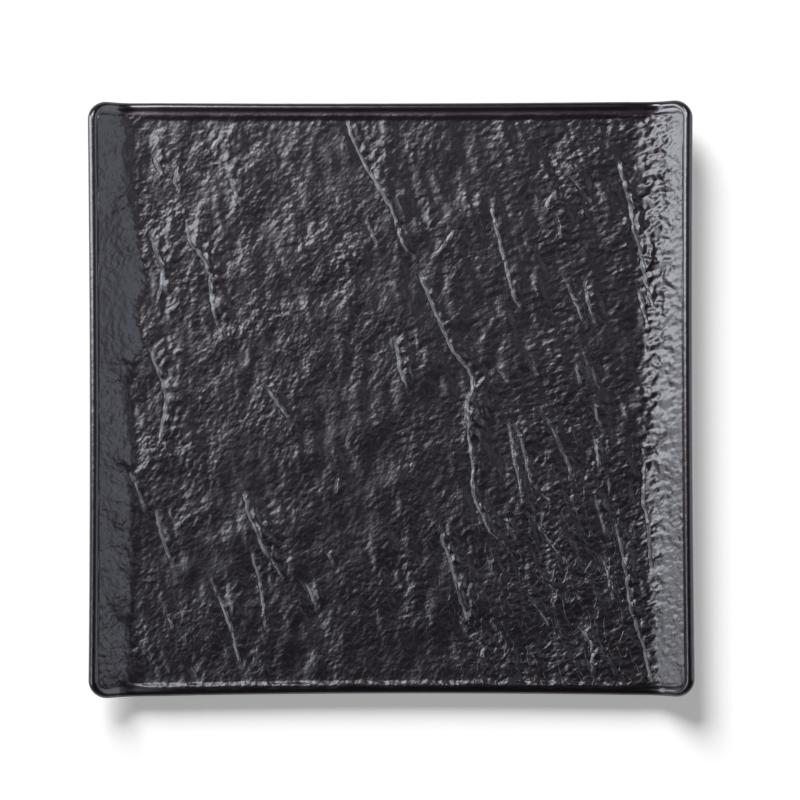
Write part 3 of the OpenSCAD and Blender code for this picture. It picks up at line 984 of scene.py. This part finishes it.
def clay_material():
    """Bare fired clay of the standing rim: matte, with specks and a dry grain."""
    s = Shader("bare_clay")
    cloud = s.noise(CLAY_CLOUDS)
    speck = s.course(s.noise(CLAY_SPECKS), SPECK_FROM, SPECK_TO)
    colour = s.blend(s.blend(CLAY_DARK, CLAY_PALE, cloud), CLAY_SPECK, speck)
    bump = s.add("Bump", Strength=0.5, Distance=CLAY_GRAIN_H * MM, Height=s.noise(CLAY_GRAIN))
    rough = s.course(cloud, 0, 1, *CLAY_ROUGHNESS)
    return s.finish(s.add(
        "BsdfPrincipled", Base_Color=colour, Roughness=rough, Normal=bump.outputs[0]))


def floor_material():
    """White floor, lifted a little where it is seen, and not drawn from below."""
    s = Shader("white_floor")
    path = s.add("LightPath").outputs
    seen = s.math("MAXIMUM", path["Is Camera Ray"], path["Is Glossy Ray"])
    seen = s.math("MAXIMUM", seen, path["Is Transmission Ray"])
    glow = s.add("Emission", Color=(1, 1, 1, 1), Strength=s.times(seen, FLOOR_LIFT)).outputs[0]
    white = s.add("BsdfDiffuse", Color=FLOOR_WHITE).outputs[0]
    lit = s.add("AddShader", i0=white, i1=glow).outputs[0]
    clear = s.add("BsdfTransparent").outputs[0]
    back = s.add("NewGeometry").outputs["Backfacing"]
    return s.finish(s.add("MixShader", Fac=back, i1=lit, i2=clear))


def hang(name, data, place, aim=(0, 0, 0)):
    """Put a lamp or a camera at a place, in metres, and turn it towards its aim."""
    thing = bpy.data.objects.new(name, data)
    thing.location = place
    thing.rotation_euler = (Vector(aim) - Vector(place)).to_track_quat("-Z", "Y").to_euler()
    bpy.context.scene.collection.objects.link(thing)
    return thing


def towards(azimuth, elevation):
    """Unit vector at angles in degrees."""
    a, e = math.radians(azimuth), math.radians(elevation)
    return Vector((math.cos(a) * math.cos(e), math.sin(a) * math.cos(e), math.sin(e)))


def link_light(lamp, floor, state):
    """Have a lamp leave the floor out, or light the floor alone."""
    group = bpy.data.collections.new(lamp.name + "_floor")
    group.objects.link(floor)
    group.collection_objects[0].light_linking.link_state = state
    lamp.light_linking.receiver_collection = group


def panel_light(floor, name, azimuth, elevation, distance, size, radiance, colour):
    """A flat panel of light that faces the plate's middle and leaves the floor out."""
    data = bpy.data.lights.new(name, "AREA")
    data.shape, data.size, data.size_y, data.color = "RECTANGLE", *size, colour
    data.energy = radiance * math.pi * size[0] * size[1]
    link_light(hang(name, data, distance * towards(azimuth, elevation)), floor, "EXCLUDE")


def floor_sun(floor):
    """A wide sun that lights the floor alone, for the photograph's soft drop shadow."""
    data = bpy.data.lights.new("floor_sun", "SUN")
    data.angle = math.radians(SUN_WIDTH)
    data.energy = math.pi * SUN_STRENGTH / math.sin(math.radians(SUN_ELEVATION))
    link_light(hang("floor_sun", data, towards(SUN_AZIMUTH, SUN_ELEVATION)), floor, "INCLUDE")


def make_world():
    """Studio surroundings: pale at the horizon and dark straight above, where the camera is."""
    world = bpy.data.worlds.new("studio")
    bpy.context.scene.world = world
    world.use_nodes = True
    tree = world.node_tree
    coords = tree.nodes.new("ShaderNodeTexCoord")
    split = tree.nodes.new("ShaderNodeSeparateXYZ")
    fall = tree.nodes.new("ShaderNodeMapRange")
    tree.links.new(coords.outputs["Generated"], split.inputs[0])
    tree.links.new(split.outputs["Z"], fall.inputs["Value"])
    fall.inputs["To Min"].default_value = SKY_AT_HORIZON
    fall.inputs["To Max"].default_value = SKY_ABOVE
    tree.links.new(fall.outputs[0], tree.nodes["Background"].inputs["Strength"])
    tree.nodes["Background"].inputs["Color"].default_value = (1, 1, 1, 1)


def make_floor():
    """White floor, far wider than what the camera sees."""
    points = np.array([[-1, -1, 0], [1, -1, 0], [1, 1, 0], [-1, 1, 0]]) * FLOOR_HALF
    floor = mesh_object("floor", points, np.array([[0, 1, 2], [0, 2, 3]]))
    floor.data.materials.append(floor_material())
    return floor


def make_camera():
    """Straight above the plate, as the photograph was taken."""
    data = bpy.data.cameras.new("camera")
    data.lens, data.sensor_width = CAMERA_LENS, CAMERA_SENSOR
    data.clip_start, data.clip_end = CAMERA_CLIP
    bpy.context.scene.camera = hang("camera", data, CAMERA_AT, CAMERA_AIM)


points, faces, top_plan = body_mesh()
plate = mesh_object("plate_body_glazed", points, faces)
across, vigour = cleft_lines(*top_plan)
told(plate, "relief_share", relief_mask(points[:, 0], points[:, 1], FINE_LEAST))
told(plate, "lean", wing_lean(*top_plan))
told(plate, "cleft_across", across)
told(plate, "cleft_vigour", vigour * relief_mask(*top_plan))
told(plate, "rim", np.arange(len(points)) >= len(across))
plate.data.materials.append(glaze_material())
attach(plate, "root")
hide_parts("plate_body")

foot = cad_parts["foot_ring"]
foot.data.materials.clear()
foot.data.materials.append(clay_material())

make_world()
floor = make_floor()
make_camera()
for panel in PANELS:
    panel_light(floor, *panel)
floor_sun(floor)

bpy.context.scene.view_settings.view_transform = "Standard"
